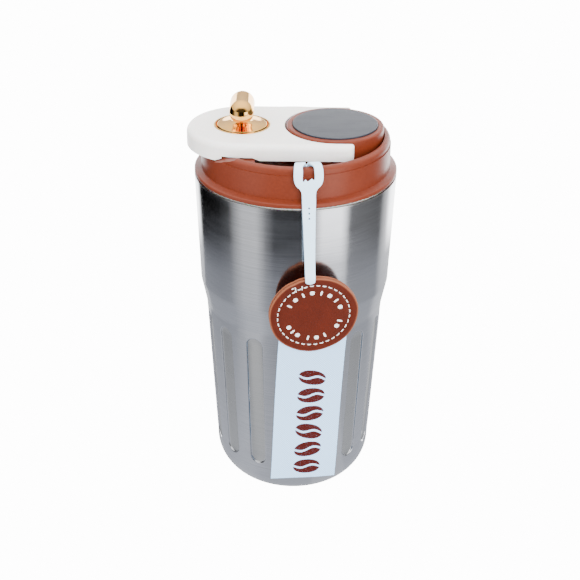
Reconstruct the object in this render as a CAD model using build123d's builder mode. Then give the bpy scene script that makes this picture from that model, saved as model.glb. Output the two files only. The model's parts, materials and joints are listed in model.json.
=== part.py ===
from build123d import *
from math import cos, hypot, radians, sin, tan
import os

# Insulated travel mug. A double-walled steel cup carries a screw-in lid. A forked cover flips up
# on the lid, a quarter-turn knob locks the cover, and a leather tag with a ribbon hangs in front.
# Millimetres, +Z up. The origin is the centre of the face that the mug stands on.

os.makedirs("parts", exist_ok=True)

# ---- driving dimensions: steel cup -------------------------------------------------------------
rim_height = 147.0
rim_radius = 42.5
shoulder_top, shoulder_top_radius = 98.9, 40.6
shoulder_foot, shoulder_foot_radius = 87.6, 38.3
base_wall_radius, base_round = 34.3, 17.5
base_height = 0.8
shell_sheet = 0.7
lip_sheet = 0.7
flute_count, flute_phase = 15, -116.0
flute_width, flute_depth = 7.4, 0.8
flute_low, flute_high = 19.5, 84.0
liner_sheet = 0.6
neck_radius = 38.8
liner_floor = 10.0
pad_radius = 15.0

# ---- driving dimensions: lid -------------------------------------------------------------------
flange_low, flange_high = 147.5, 150.2
flange_radius = 42.5
ring_radius, ring_bore, ring_top = 39.6, 36.9, 163.5
dip_start, dip_slope = 12.0, 0.1
fall_start, fall_end, fall_low = -23.5, -33.0, 158.8
deck_low, deck_top = 153.0, 155.0
platform_top, platform_edge = 161.0, -16.5
sip_radius, sip_half_angle, sip_width = 31.3, 12.5, 5.4
vent_x, vent_y, vent_radius = -22.5, 14.0, 1.3
plug_radius, plug_wall, plug_floor = 37.0, 1.8, 131.0
duct_wall = 1.2
thread_starts, thread_lead, thread_arc = 4, 12.0, 75.0
thread_height = 137.0
male_crest, female_crest = 38.4, 37.6
seal_in, seal_out, seal_thickness = 38.9, 41.2, 1.5
column_x, column_radius, column_wall, column_top = 16.2, 20.3, 2.0, 167.5
column_floor = 164.5
inlay_radius, inlay_top, inlay_thickness = 17.7, 168.0, 1.5

# ---- driving dimensions: flip cover and knob ---------------------------------------------------
cover_top, cover_low, lip_low = 167.0, 160.4, 159.4
cover_half_width, cover_round_x, tine_end = 23.9, -21.5, 23.5
cover_wall, cavity_top, well_floor = 2.2, 164.6, 162.7
fork_gap = 0.7
rim_gap = 0.35
hinge_x, hinge_z, hinge_radius = 18.5, 163.5, 1.25
hinge_play = 0.05
pin_inner, pin_length = 15.0, 7.8
knob_x = -22.4
dish_radius, dish_sheet, dish_floor = 11.8, 0.8, 163.6
knob_disc_radius, knob_disc_low, knob_disc_high = 10.3, 164.5, 167.4
knob_neck_radius = 3.2
barrel_radius, barrel_half, barrel_z = 5.1, 5.2, 174.4
spindle_radius, foot_low, foot_high = 1.5, 156.9, 158.4
foot_length, foot_width = 8.4, 2.6
keeper_radius, keeper_low, keeper_high = 5.4, 158.7, 160.2
pocket_radius, pocket_low = 4.9, 156.4

# ---- driving dimensions: tag -------------------------------------------------------------------
tag_angle = 8.5                       # the tag hangs this far round from the front, in degrees
pin_reach, pin_z, pin_radius = 33.15, 158.0, 1.25
band = 1.0                            # strap thickness
arch_reach, arch_z, arch_bore = 38.1, 162.0, 2.6
strap_drop = [(41.3, 161.3), (43.25, 149.6), (49.9, 120.6), (49.3, 116.7)]
strap_shift = -1.0
disc_x, disc_z, disc_radius = 1.2, 102.3, 18.5
disc_reach, disc_lean, ply = 44.1, 8.5, 1.0
ribbon_width, ribbon_sheet, ribbon_low, ribbon_high = 28.4, 0.5, 18.2, 98.0
ribbon_lean, ribbon_tilt, ribbon_shift = 2.7, -2.1, 0.75
stitch_count, stitch_ring = 36, 14.9


def taper_radius(height):
    """Radius of the lower barrel's skin at a height."""
    share = (height - base_round) / (shoulder_foot - base_round)
    return base_wall_radius + share * (shoulder_foot_radius - base_wall_radius)


def save(piece, name):
    """Label a finished piece and write it as its own STEP file."""
    piece.part.label = name
    export_step(piece.part, f"parts/{name}.step")


def ring(inner, outer, low, high):
    """Draw a turned ring's section, in the sketch that is open."""
    with Locations(((inner + outer) / 2, (low + high) / 2)):
        Rectangle(outer - inner, high - low)


# ---- steel cup ---------------------------------------------------------------------------------
def barrel(inset):
    """The outer shell's skin as a solid, moved inwards by inset, with its pressed flutes."""
    floor = base_height + inset
    corner = base_round - inset
    wall = base_wall_radius - inset
    top = rim_height - lip_sheet
    with BuildPart() as skin:
        with BuildSketch(Plane.XZ):
            with BuildLine():
                Polyline((0, floor), (0, top), (rim_radius - inset, top))
                Polyline(
                    (rim_radius - inset, top),
                    (shoulder_top_radius - inset, shoulder_top),
                    (shoulder_foot_radius - inset, shoulder_foot),
                    (wall, floor + corner),
                )
                CenterArc((wall - corner, floor + corner), corner, 0, -90)
                Line((wall - corner, floor), (0, floor))
            make_face()
        revolve(axis=Axis.Z)
        fillet(skin.edges().filter_by_position(Axis.Z, shoulder_foot - 1, shoulder_top + 1), 9)
    with BuildPart() as flutes:
        for index in range(flute_count):
            turn = radians(flute_phase + index * 360 / flute_count)
            outward = (cos(turn), sin(turn), 0)
            middle = (20 * outward[0], 20 * outward[1], (flute_low + flute_high) / 2)
            with BuildSketch(Plane(middle, x_dir=(-outward[1], outward[0], 0), z_dir=outward)):
                SlotOverall(flute_high - flute_low + 2 * inset, flute_width + 2 * inset, rotation=90)
        extrude(amount=30)
        with BuildSketch(Plane.XZ):
            with BuildLine():
                sink = flute_depth + inset
                Polyline(
                    (0, 0),
                    (taper_radius(0) - sink, 0),
                    (taper_radius(shoulder_top) - sink, shoulder_top),
                    (0, shoulder_top),
                    close=True,
                )
            make_face()
        revolve(axis=Axis.Z, mode=Mode.SUBTRACT)
    with BuildPart() as fluted:
        add(skin.part)
        add(flutes.part, mode=Mode.SUBTRACT)
    return fluted.part


def flute_rims(skin, inside):
    """The edges round each flute, either where it meets the skin or, inside, round its floor."""
    rims = []
    for edge in skin.edges().filter_by_position(Axis.Z, flute_low - 1, flute_high + 1):
        depths = [taper_radius(point.Z) - hypot(point.X, point.Y) for point in edge.vertices()]
        low, high = (flute_depth / 2, 2 * flute_depth) if inside else (-flute_depth / 2, flute_depth / 2)
        bounds = edge.bounding_box()
        within = bounds.min.Z > flute_low - 2 and bounds.max.Z < flute_high + 2
        if within and all(low < depth < high for depth in depths):
            rims.append(edge)
    return rims


with BuildPart() as outer_shell:
    add(barrel(0))
    fillet(flute_rims(outer_shell, True), 0.3)
    fillet(flute_rims(outer_shell, False), 0.45)
    add(barrel(shell_sheet), mode=Mode.SUBTRACT)
    with Locations((0, 0, base_height)):
        Cylinder(pad_radius, 3, mode=Mode.SUBTRACT)
save(outer_shell, "outer_shell")


def helical_ridges(root, crest, height):
    """Short ridges on one helix, one for each thread start, with their roots sunk in the wall."""
    way = 1 if crest > root else -1
    sunk, tall = -0.35, abs(crest - root)
    with BuildPart() as ridge:
        with BuildLine() as path:
            Helix(thread_lead, thread_lead * thread_arc / 360, root, center=(0, 0, height))
        start = path.line
        with BuildSketch(Plane(start @ 0, x_dir=(way, 0, 0), z_dir=start % 0)):
            Polygon((sunk, -0.8), (tall, -0.35), (tall, 0.35), (sunk, 0.8), align=None)
        sweep(path=start, is_frenet=True)
    with BuildPart() as ridges:
        with PolarLocations(0, thread_starts):
            add(ridge.part)
    return ridges.part


def liner_cup(inset):
    """The inner cup's outside as a solid, moved inwards by inset."""
    neck = neck_radius + liner_sheet - inset
    floor = liner_floor - liner_sheet + inset
    corner = 14.0 - inset
    with BuildPart() as cup:
        with BuildSketch(Plane.XZ):
            with BuildLine():
                Polyline((0, floor), (0, rim_height), (neck, rim_height), (neck, 133.0))
                Polyline(
                    (neck, 133.0),
                    (38.2 - inset, 129.0),
                    (37.4 - inset, 101.0),
                    (35.4 - inset, 88.0),
                    (31.4 - inset, floor + corner),
                )
                CenterArc((31.4 - inset - corner, floor + corner), corner, 0, -90)
                Line((31.4 - inset - corner, floor), (0, floor))
            make_face()
        revolve(axis=Axis.Z)
        fillet(cup.edges().filter_by_position(Axis.Z, 86, 103), 8)
    return cup.part


with BuildPart() as inner_liner:
    add(liner_cup(0))
    with BuildSketch(Plane.XZ):
        ring(neck_radius, rim_radius, rim_height - lip_sheet, rim_height)
    revolve(axis=Axis.Z)
    add(liner_cup(liner_sheet), mode=Mode.SUBTRACT)
    add(helical_ridges(neck_radius, female_crest, thread_height + thread_lead / thread_starts / 2))
save(inner_liner, "inner_liner")

with BuildPart() as base_disc:
    with Locations((0, 0, 1.9)):
        Cylinder(pad_radius, 0.7, align=(Align.CENTER, Align.CENTER, Align.MIN))
        Hole(1.5)
save(base_disc, "base_disc")

with BuildPart() as vacuum_seal:
    with Locations((0, 0, 1.9)):
        Cylinder(1.5, 0.7, align=(Align.CENTER, Align.CENTER, Align.MIN))
    with Locations((0, 0, 2.6)):
        Cylinder(2.6, 0.5, align=(Align.CENTER, Align.CENTER, Align.MIN))
    fillet(vacuum_seal.faces().sort_by(Axis.Z)[-1].edges(), 0.2)
save(vacuum_seal, "vacuum_seal")

with BuildPart() as getter_capsule:
    with Locations((8, 0, 2.6)):
        Cylinder(3.0, 1.6, align=(Align.CENTER, Align.CENTER, Align.MIN))
    chamfer(getter_capsule.faces().sort_by(Axis.Z)[-1].edges(), 0.4)
save(getter_capsule, "getter_capsule")

with BuildPart() as foot_pad:
    Cylinder(pad_radius, 1.9, align=(Align.CENTER, Align.CENTER, Align.MIN))
    chamfer(foot_pad.faces().sort_by(Axis.Z)[0].edges(), 0.4)
save(foot_pad, "foot_pad")

# ---- lid ---------------------------------------------------------------------------------------
sip_arc = CenterArc((0, 0), sip_radius, 180 - sip_half_angle, 2 * sip_half_angle)


def sip_slot(width):
    """Draw the curved sip opening, in the sketch that is open."""
    SlotArc(sip_arc, width)


def tag_face(reach, height=0.0, lean=0.0):
    """Plane that faces outwards at the tag, with its top leaning out. Its axes are across and up."""
    turn, tip = radians(tag_angle), radians(lean)
    out = Vector(sin(turn), -cos(turn), 0)
    across = Vector(cos(turn), sin(turn), 0)
    return Plane(reach * out + Vector(0, 0, height), x_dir=across, z_dir=cos(tip) * out - Vector(0, 0, sin(tip)))


def tag_side():
    """Plane that cuts the tag from the side. Its axes are outwards and up."""
    out = (sin(radians(tag_angle)), -cos(radians(tag_angle)), 0)
    across = (cos(radians(tag_angle)), sin(radians(tag_angle)), 0)
    return Plane((0, 0, 0), x_dir=out, z_dir=(-across[0], -across[1], 0))


def fall_outline(rise):
    """Draw all that is cut off the rim where it falls away, raised by a gap, in the open sketch."""
    Polygon(
        (fall_start, ring_top + rise),
        (fall_end, fall_low + rise),
        (-60, fall_low + rise),
        (-60, 180),
        (fall_start, 180),
        align=None,
    )


with BuildPart() as lid_outer:
    with BuildSketch(Plane.XZ):
        with BuildLine():
            Polyline(
                (0, deck_low),
                (plug_radius, deck_low),
                (plug_radius, flange_low),
                (flange_radius, flange_low),
                (flange_radius, flange_high - 0.9),
                (ring_radius, flange_high),
                (ring_radius, ring_top - 3.1),
                (ring_radius - 0.35, ring_top - 3.1),
                (ring_radius - 0.35, ring_top),
                (ring_bore, ring_top),
                (ring_bore, deck_top),
                (0, deck_top),
                close=True,
            )
        make_face()
    revolve(axis=Axis.Z)
    rim = lid_outer.edges().filter_by_position(Axis.Z, ring_top - 0.1, ring_top + 0.1)
    fillet(rim.sort_by(SortBy.LENGTH)[-1:], 1.7)
    brim = lid_outer.edges().filter_by_position(Axis.Z, flange_low - 0.1, flange_high - 0.8)
    fillet(brim.sort_by(SortBy.LENGTH)[-2:], 0.7)
    # the rim dips at the back
    with BuildSketch(Plane.YZ):
        Polygon((dip_start, ring_top), (50, ring_top - dip_slope * (50 - dip_start)), (50, 180), align=None)
    extrude(amount=60, both=True, mode=Mode.SUBTRACT)
    # the rim falls away under the cover's lip
    with BuildSketch(Plane.XZ):
        fall_outline(0)
    extrude(amount=60, both=True, mode=Mode.SUBTRACT)
    # raised platform that carries the sip opening, next to the rim
    with BuildSketch(Plane.XY.offset(deck_low)):
        Circle(ring_bore + 0.1)
        with Locations((platform_edge, 0)):
            Rectangle(60, 90, align=(Align.MAX, Align.CENTER), mode=Mode.INTERSECT)
    extrude(amount=platform_top - deck_low)
    with BuildSketch(Plane.XY.offset(deck_low)):
        sip_slot(sip_width)
        with Locations((vent_x, vent_y)):
            Circle(vent_radius)
    extrude(amount=20, mode=Mode.SUBTRACT)
    # stepped pocket for the lock keeper
    with BuildSketch(Plane.XY.offset(keeper_low)):
        with Locations((knob_x, 0)):
            Circle(keeper_radius)
    extrude(amount=20, mode=Mode.SUBTRACT)
    with BuildSketch(Plane.XY.offset(pocket_low)):
        with Locations((knob_x, 0)):
            Circle(pocket_radius)
    extrude(amount=20, mode=Mode.SUBTRACT)
    # seal groove under the flange
    with BuildSketch(Plane.XZ):
        ring(seal_in, seal_out, flange_low - 1, rim_height + seal_thickness)
    revolve(axis=Axis.Z, mode=Mode.SUBTRACT)
    # two lugs that hold the tag's pin
    with BuildSketch(tag_side()):
        with Locations((pin_reach, deck_top - 0.5)):
            Rectangle(4.4, 3.5, align=(Align.CENTER, Align.MIN))
        with Locations((pin_reach, pin_z)):
            Circle(2.2)
            Circle(pin_radius, mode=Mode.SUBTRACT)
    extrude(amount=9, both=True)
    with BuildSketch(tag_side()):
        with Locations((pin_reach, deck_top)):
            Rectangle(7, 8, align=(Align.CENTER, Align.MIN))
    extrude(amount=6.6, both=True, mode=Mode.SUBTRACT)
save(lid_outer, "lid_outer")

with BuildPart() as lid_plug:
    with BuildSketch(Plane.XY.offset(plug_floor)):
        Circle(plug_radius)
    extrude(amount=deck_low - plug_floor)
    with BuildSketch(Plane.XY.offset(plug_floor + 2)):
        Circle(plug_radius - plug_wall)
        SlotArc(sip_arc, sip_width + 2 * duct_wall, mode=Mode.SUBTRACT)
        with Locations((vent_x, vent_y)):
            Circle(vent_radius + 1, mode=Mode.SUBTRACT)
    extrude(amount=deck_low - plug_floor, mode=Mode.SUBTRACT)
    with BuildSketch(Plane.XY.offset(plug_floor)):
        sip_slot(sip_width)
        with Locations((vent_x, vent_y)):
            Circle(vent_radius)
    extrude(amount=deck_low - plug_floor, mode=Mode.SUBTRACT)
    fillet(lid_plug.faces().sort_by(Axis.Z)[0].outer_wire().edges(), 1.5)
    add(helical_ridges(plug_radius, male_crest, thread_height))
save(lid_plug, "lid_plug")

with BuildPart() as lid_foam:
    with BuildSketch(Plane.XY.offset(plug_floor + 2.1)):
        Circle(plug_radius - plug_wall - 0.2)
        SlotArc(sip_arc, sip_width + 2 * duct_wall + 0.4, mode=Mode.SUBTRACT)
        with Locations((vent_x, vent_y)):
            Circle(vent_radius + 1.2, mode=Mode.SUBTRACT)
    extrude(amount=deck_low - plug_floor - 2.4)
save(lid_foam, "lid_foam")

with BuildPart() as lid_seal:
    with BuildSketch(Plane.XZ):
        ring(seal_in, seal_out, rim_height, rim_height + seal_thickness)
    revolve(axis=Axis.Z)
save(lid_seal, "lid_seal")

with BuildPart() as lid_column:
    with BuildSketch(Plane.XY.offset(deck_top)):
        with Locations((column_x, 0)):
            Circle(column_radius)
    extrude(amount=column_top - deck_top)
    fillet(lid_column.faces().sort_by(Axis.Z)[-1].edges(), 0.9)
    with Locations((column_x, 0, inlay_top - inlay_thickness - 0.4)):
        Cylinder(inlay_radius + 0.3, 4, align=(Align.CENTER, Align.CENTER, Align.MIN), mode=Mode.SUBTRACT)
    with BuildSketch(Plane.XY.offset(deck_top)):
        with Locations((column_x, 0)):
            Circle(column_radius - column_wall)
    extrude(amount=column_floor - deck_top, mode=Mode.SUBTRACT)
    with BuildSketch(Plane.XY.offset(column_floor)):
        with Locations((column_x, 0)):
            Circle(16.4)
    extrude(amount=20, mode=Mode.SUBTRACT)
    # a boss for each hinge pin, inside the wall
    for side in (-1, 1):
        with BuildSketch(Plane.XZ.offset(-side * pin_inner)):
            with Locations((hinge_x, hinge_z)):
                Circle(2.4)
                Rectangle(4.8, 20, align=(Align.CENTER, Align.MAX))
                with Locations((0, deck_top - hinge_z)):
                    Rectangle(40, 60, align=(Align.CENTER, Align.MAX), mode=Mode.SUBTRACT)
        extrude(amount=-side * 4.5)
    with BuildSketch(Plane.XZ):
        with Locations((hinge_x, hinge_z)):
            Circle(hinge_radius)
    extrude(amount=30, both=True, mode=Mode.SUBTRACT)
save(lid_column, "lid_column")

with BuildPart() as disc_adhesive:
    with BuildSketch(Plane.XY.offset(inlay_top - inlay_thickness - 0.4)):
        with Locations((column_x, 0)):
            Circle(17.7)
            Circle(16.6, mode=Mode.SUBTRACT)
    extrude(amount=0.4)
save(disc_adhesive, "disc_adhesive")

with BuildPart() as inlay_disc:
    with Locations((column_x, 0, inlay_top - inlay_thickness)):
        Cylinder(inlay_radius, inlay_thickness, align=(Align.CENTER, Align.CENTER, Align.MIN))
    fillet(inlay_disc.faces().sort_by(Axis.Z)[-1].edges(), 0.25)
save(inlay_disc, "inlay_disc")

with BuildPart() as hinge_pins:
    for side in (-1, 1):
        with BuildSketch(Plane.XZ.offset(-side * pin_inner)):
            with Locations((hinge_x, hinge_z)):
                Circle(hinge_radius)
        extrude(amount=-side * pin_length)
save(hinge_pins, "hinge_pins")

with BuildPart() as lock_keeper:
    with BuildSketch(Plane.XY.offset(keeper_low)):
        with Locations((knob_x, 0)):
            Circle(keeper_radius)
            Rectangle(4.4, 9.4, mode=Mode.SUBTRACT)
    extrude(amount=keeper_high - keeper_low)
save(lock_keeper, "lock_keeper")

with BuildPart() as lanyard_pin:
    with BuildSketch(tag_side()):
        with Locations((pin_reach, pin_z)):
            Circle(pin_radius)
    extrude(amount=9, both=True)
save(lanyard_pin, "lanyard_pin")

# ---- flip cover --------------------------------------------------------------------------------
def cover_outline(half_width, right):
    """Draw the cover's plan, a bar with one round end, in the sketch that is open."""
    with Locations((cover_round_x, 0)):
        Circle(half_width)
        Rectangle(right - cover_round_x, 2 * half_width, align=(Align.MIN, Align.CENTER))


def cavity_outline(boss):
    """Draw the cover's hollow, less the knob's boss if one is asked for, in the open sketch."""
    cover_outline(cover_half_width - cover_wall, 6.0)
    Circle(ring_bore - 0.5, mode=Mode.INTERSECT)
    with Locations((column_x, 0)):
        Circle(column_radius + fork_gap + cover_wall, mode=Mode.SUBTRACT)
    if boss:
        with Locations((knob_x, 0)):
            Circle(boss, mode=Mode.SUBTRACT)


screw_places = [(-7, 15), (-7, -15), (-29, 16), (-29, -16)]

with BuildPart() as platform_relief:
    with BuildSketch(Plane.XZ):
        Polygon(
            (-60, lip_low),
            (-60, platform_top + 0.6),
            (platform_edge - 1.0, platform_top + 0.6),
            (platform_edge + 2.0, cover_low),
            (platform_edge + 2.0, lip_low),
            align=None,
        )
    extrude(amount=30, both=True)
    with BuildSketch(Plane.XY.offset(lip_low)):
        Circle(ring_bore + 0.1 + rim_gap)
    extrude(amount=10, mode=Mode.INTERSECT)

with BuildPart() as rim_relief:
    with BuildSketch(Plane.XY.offset(lip_low)):
        Circle(ring_radius + rim_gap)
        Circle(ring_bore - rim_gap, mode=Mode.SUBTRACT)
        Rectangle(60, 90, align=(Align.MAX, Align.CENTER), mode=Mode.INTERSECT)
    extrude(amount=ring_top + rim_gap - lip_low)
    with BuildSketch(Plane.XZ):
        fall_outline(rim_gap + 0.05)
    extrude(amount=60, both=True, mode=Mode.SUBTRACT)

with BuildPart() as flip_cover:
    with BuildSketch(Plane.XY.offset(lip_low)):
        cover_outline(cover_half_width, tine_end)
    extrude(amount=cover_top - lip_low)
    with BuildSketch(Plane.XY.offset(lip_low)):
        with Locations((30, 0)):
            Rectangle(47, 60, align=(Align.MAX, Align.CENTER))
    extrude(amount=cover_low - lip_low, mode=Mode.SUBTRACT)
    corners = flip_cover.edges().filter_by(Axis.Y).group_by(Axis.X)[-1].sort_by(Axis.Z)
    fillet(corners[-1], 1.2)
    fillet(flip_cover.faces().sort_by(Axis.Z)[-1].edges(), 2.6)
    # fork that clears the column
    with BuildSketch(Plane.XY.offset(lip_low)):
        with Locations((column_x, 0)):
            Circle(column_radius + fork_gap)
            Rectangle(20, 2 * (column_radius + fork_gap), align=(Align.MIN, Align.CENTER))
    extrude(amount=20, mode=Mode.SUBTRACT)
    # relief over the lid's rim, then over its platform
    add(rim_relief.part, mode=Mode.SUBTRACT)
    add(platform_relief.part, mode=Mode.SUBTRACT)
    # hollow, with a boss that carries the knob
    with BuildSketch(Plane.XY.offset(lip_low)):
        cavity_outline(None)
    extrude(amount=well_floor - lip_low, mode=Mode.SUBTRACT)
    with BuildSketch(Plane.XY.offset(well_floor)):
        cavity_outline(13.0)
    extrude(amount=cavity_top - well_floor, mode=Mode.SUBTRACT)
    with BuildSketch(Plane.XY.offset(dish_floor)):
        with Locations((knob_x, 0)):
            Circle(dish_radius)
    extrude(amount=10, mode=Mode.SUBTRACT)
    with BuildSketch(Plane.XY.offset(lip_low)):
        with Locations((knob_x, 0)):
            Circle(3.0)
    extrude(amount=10, mode=Mode.SUBTRACT)
    with BuildSketch(Plane.XY.offset(cavity_top)):
        with Locations(*screw_places):
            Circle(0.8)
    extrude(amount=1.4, mode=Mode.SUBTRACT)
    # blind hinge holes, from the inner face of each tine
    with BuildSketch(Plane.XZ):
        with Locations((hinge_x, hinge_z)):
            Circle(hinge_radius + hinge_play)
    extrude(amount=22.9, both=True, mode=Mode.SUBTRACT)
save(flip_cover, "flip_cover")

with BuildPart() as cover_plate:
    with BuildSketch(Plane.XY.offset(well_floor)):
        cavity_outline(13.1)
        Circle(ring_bore - 1.3, mode=Mode.INTERSECT)
        with Locations(*screw_places):
            Circle(0.8, mode=Mode.SUBTRACT)
    extrude(amount=cavity_top - well_floor)
    with BuildSketch(Plane.XY.offset(well_floor)):
        with Locations(*screw_places):
            Circle(1.6)
    extrude(amount=0.9, mode=Mode.SUBTRACT)
save(cover_plate, "cover_plate")

with BuildPart() as plate_screws:
    with BuildSketch(Plane.XY.offset(well_floor)):
        with Locations(*screw_places):
            Circle(1.5)
    extrude(amount=0.9)
    with BuildSketch(Plane.XY.offset(well_floor + 0.9)):
        with Locations(*screw_places):
            Circle(0.8)
    extrude(amount=2.3)
    with BuildSketch(Plane.XY.offset(well_floor)):
        with Locations(*screw_places):
            Rectangle(1.9, 0.4)
            Rectangle(0.4, 1.9)
    extrude(amount=0.4, mode=Mode.SUBTRACT)
save(plate_screws, "plate_screws")

with BuildPart() as spout_plug:
    with BuildSketch(Plane.XY.offset(platform_top + 0.3)):
        sip_slot(sip_width + 2.6)
    extrude(amount=well_floor - platform_top - 0.3)
    with BuildSketch(Plane.XY.offset(platform_top - 2.2)):
        sip_slot(sip_width - 0.7)
    extrude(amount=2.5)
    fillet(spout_plug.faces().sort_by(Axis.Z)[0].edges(), 0.7)
save(spout_plug, "spout_plug")

with BuildPart() as vent_nub:
    with Locations((vent_x, vent_y, platform_top + 0.3)):
        Cylinder(2.3, well_floor - platform_top - 0.3, align=(Align.CENTER, Align.CENTER, Align.MIN))
    with Locations((vent_x, vent_y, platform_top - 1.5)):
        Cylinder(vent_radius - 0.35, 1.8, align=(Align.CENTER, Align.CENTER, Align.MIN))
    fillet(vent_nub.faces().sort_by(Axis.Z)[0].edges(), 0.4)
save(vent_nub, "vent_nub")

with BuildPart() as knob_dish:
    with Locations((knob_x, 0, dish_floor)):
        Cylinder(dish_radius, cover_top + 0.15 - dish_floor, align=(Align.CENTER, Align.CENTER, Align.MIN))
    fillet(knob_dish.faces().sort_by(Axis.Z)[-1].edges(), 0.3)
    with Locations((knob_x, 0, dish_floor + 0.7)):
        Cylinder(dish_radius - dish_sheet, 6, align=(Align.CENTER, Align.CENTER, Align.MIN), mode=Mode.SUBTRACT)
    with Locations((knob_x, 0, dish_floor)):
        Cylinder(3.0, 6, mode=Mode.SUBTRACT)
save(knob_dish, "knob_dish")

with BuildPart() as spindle_bush:
    with BuildSketch(Plane.XY.offset(well_floor)):
        with Locations((knob_x, 0)):
            Circle(3.0)
            Circle(spindle_radius + hinge_play, mode=Mode.SUBTRACT)
    extrude(amount=dish_floor + 0.75 - well_floor)
save(spindle_bush, "spindle_bush")

# ---- turning knob ------------------------------------------------------------------------------
with BuildPart() as knob_barrel:
    with BuildSketch(Plane.XZ):
        with Locations((knob_x, barrel_z)):
            Circle(barrel_radius)
    extrude(amount=barrel_half, both=True)
    with Locations((knob_x, -barrel_half, barrel_z), (knob_x, barrel_half, barrel_z)):
        Sphere(barrel_radius)
    with Locations((knob_x, 0, barrel_z - barrel_radius - 1)):
        Cylinder(spindle_radius, 3.2, align=(Align.CENTER, Align.CENTER, Align.MIN), mode=Mode.SUBTRACT)
save(knob_barrel, "knob_barrel")

with BuildPart() as knob_base:
    with BuildSketch(Plane.XZ):
        with BuildLine():
            Polyline((0, knob_disc_low), (knob_disc_radius, knob_disc_low), (knob_disc_radius, knob_disc_high))
            Spline(
                (knob_disc_radius, knob_disc_high),
                (knob_neck_radius + 2.2, knob_disc_high + 0.75),
                (knob_neck_radius, knob_disc_high + 2.3),
                tangents=((-1, 0.05), (0, 1)),
            )
            Polyline(
                (knob_neck_radius, knob_disc_high + 2.3),
                (knob_neck_radius, barrel_z - 1),
                (0, barrel_z - 1),
                (0, knob_disc_low),
            )
        make_face()
    revolve(axis=Axis.Z)
    fillet(knob_base.edges().sort_by(SortBy.LENGTH)[-2:], 0.3)
    with BuildSketch(Plane.XZ):
        with Locations((0, barrel_z)):
            Circle(barrel_radius)
    extrude(amount=20, both=True, mode=Mode.SUBTRACT)
    Cylinder(spindle_radius, 400, mode=Mode.SUBTRACT)
knob_base.part.locate(Location((knob_x, 0, 0)))
save(knob_base, "knob_base")

with BuildPart() as knob_spindle:
    with Locations((knob_x, 0, foot_low)):
        Cylinder(
            spindle_radius,
            barrel_z - barrel_radius + 2.2 - foot_low,
            align=(Align.CENTER, Align.CENTER, Align.MIN),
        )
        Box(foot_width, foot_length, foot_high - foot_low, align=(Align.CENTER, Align.CENTER, Align.MIN))
save(knob_spindle, "knob_spindle")

with BuildPart() as spindle_clip:
    with BuildSketch(Plane.XY.offset(well_floor - 0.8)):
        with Locations((knob_x, 0)):
            Circle(3.1)
            Circle(spindle_radius, mode=Mode.SUBTRACT)
            Rectangle(4, 1.6, align=(Align.MIN, Align.CENTER), mode=Mode.SUBTRACT)
    extrude(amount=0.5)
save(spindle_clip, "spindle_clip")

with BuildPart() as wave_washer:
    with BuildSketch(Plane.XY.offset(well_floor - 0.28)):
        with Locations((knob_x, 0)):
            Circle(2.9)
            Circle(spindle_radius + 0.2, mode=Mode.SUBTRACT)
    extrude(amount=0.25)
save(wave_washer, "wave_washer")

# ---- tag ---------------------------------------------------------------------------------------
def disc_face(out):
    """Plane of the leather disc, this far out from its back. Its origin is at the disc's height."""
    return tag_face(disc_reach, disc_z, disc_lean).offset(out)


def disc_point(out, up):
    """Reach and height of a point this far out from the disc's back and up from its centre."""
    lean = radians(disc_lean)
    reach = disc_reach + out * cos(lean) + up * sin(lean)
    return (reach, disc_z - out * sin(lean) + up * cos(lean))


with BuildPart() as strap_loop:
    with BuildSketch(tag_side()):
        with Locations((arch_reach, arch_z)):
            Circle(arch_bore + band)
            Circle(arch_bore, mode=Mode.SUBTRACT)
            Rectangle(12, 12, align=(Align.CENTER, Align.MIN), mode=Mode.INTERSECT)
        with Locations((arch_reach - arch_bore - band / 2, pin_z)):
            Rectangle(band, arch_z - pin_z, align=(Align.CENTER, Align.MIN))
        with Locations((pin_reach, pin_z)):
            Circle(pin_radius + 0.1 + band)
            Circle(pin_radius + 0.1, mode=Mode.SUBTRACT)
    extrude(amount=5.5, both=True)
    with BuildSketch(tag_side()):
        with Locations(((pin_reach + arch_reach) / 2, pin_z - 4)):
            Rectangle(17, 16, align=(Align.CENTER, Align.MIN))
    extrude(amount=2.1, both=True, mode=Mode.SUBTRACT)
save(strap_loop, "strap_loop")

with BuildPart() as strap_tail:
    with BuildSketch(tag_side()):
        with BuildLine():
            Polyline(*strap_drop)
            offset(amount=band / 2, side=Side.BOTH, kind=Kind.INTERSECTION)
        make_face()
    extrude(amount=8, both=True)
    with BuildSketch(tag_face(38)):
        with Locations((strap_shift, 0)):
            with BuildLine():
                Polyline((-5.5, 163.5), (-5.6, 161.0), (-5.0, 158.8), (-3.0, 156.0), (-2.2, 119.2))
                Polyline((2.2, 119.2), (3.0, 156.0), (5.0, 158.8), (5.6, 161.0), (5.5, 163.5))
                Polyline((5.5, 163.5), (2.1, 163.5), (2.3, 160.0), (-2.3, 160.0), (-2.1, 163.5), (-5.5, 163.5))
                CenterArc((0, 119.2), 2.2, 180, 180)
            make_face()
    extrude(amount=14, mode=Mode.INTERSECT)
    # the strap's end goes through the front ply and lies flat between the plies
    with BuildSketch(disc_face(ply)):
        with Locations((strap_shift, disc_radius - 2.2)):
            SlotOverall(4.0, 1.4)
    extrude(amount=ply + ribbon_sheet + 0.3)
    with BuildSketch(disc_face(ply)):
        with Locations((strap_shift, disc_radius - 4.6)):
            RectangleRounded(4.0, 6.0, 0.6)
    extrude(amount=ribbon_sheet)
save(strap_tail, "strap_tail")

with BuildPart() as tag_disc_front:
    with BuildSketch(disc_face(ply + ribbon_sheet)):
        with Locations((disc_x, 0)):
            Circle(disc_radius)
        with Locations((strap_shift, disc_radius - 2.2)):
            SlotOverall(4.1, 1.5, mode=Mode.SUBTRACT)
    extrude(amount=ply)
save(tag_disc_front, "tag_disc_front")

with BuildPart() as tag_disc_back:
    with BuildSketch(disc_face(0)):
        with Locations((disc_x, 0)):
            Circle(disc_radius)
    extrude(amount=ply)
save(tag_disc_back, "tag_disc_back")

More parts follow.
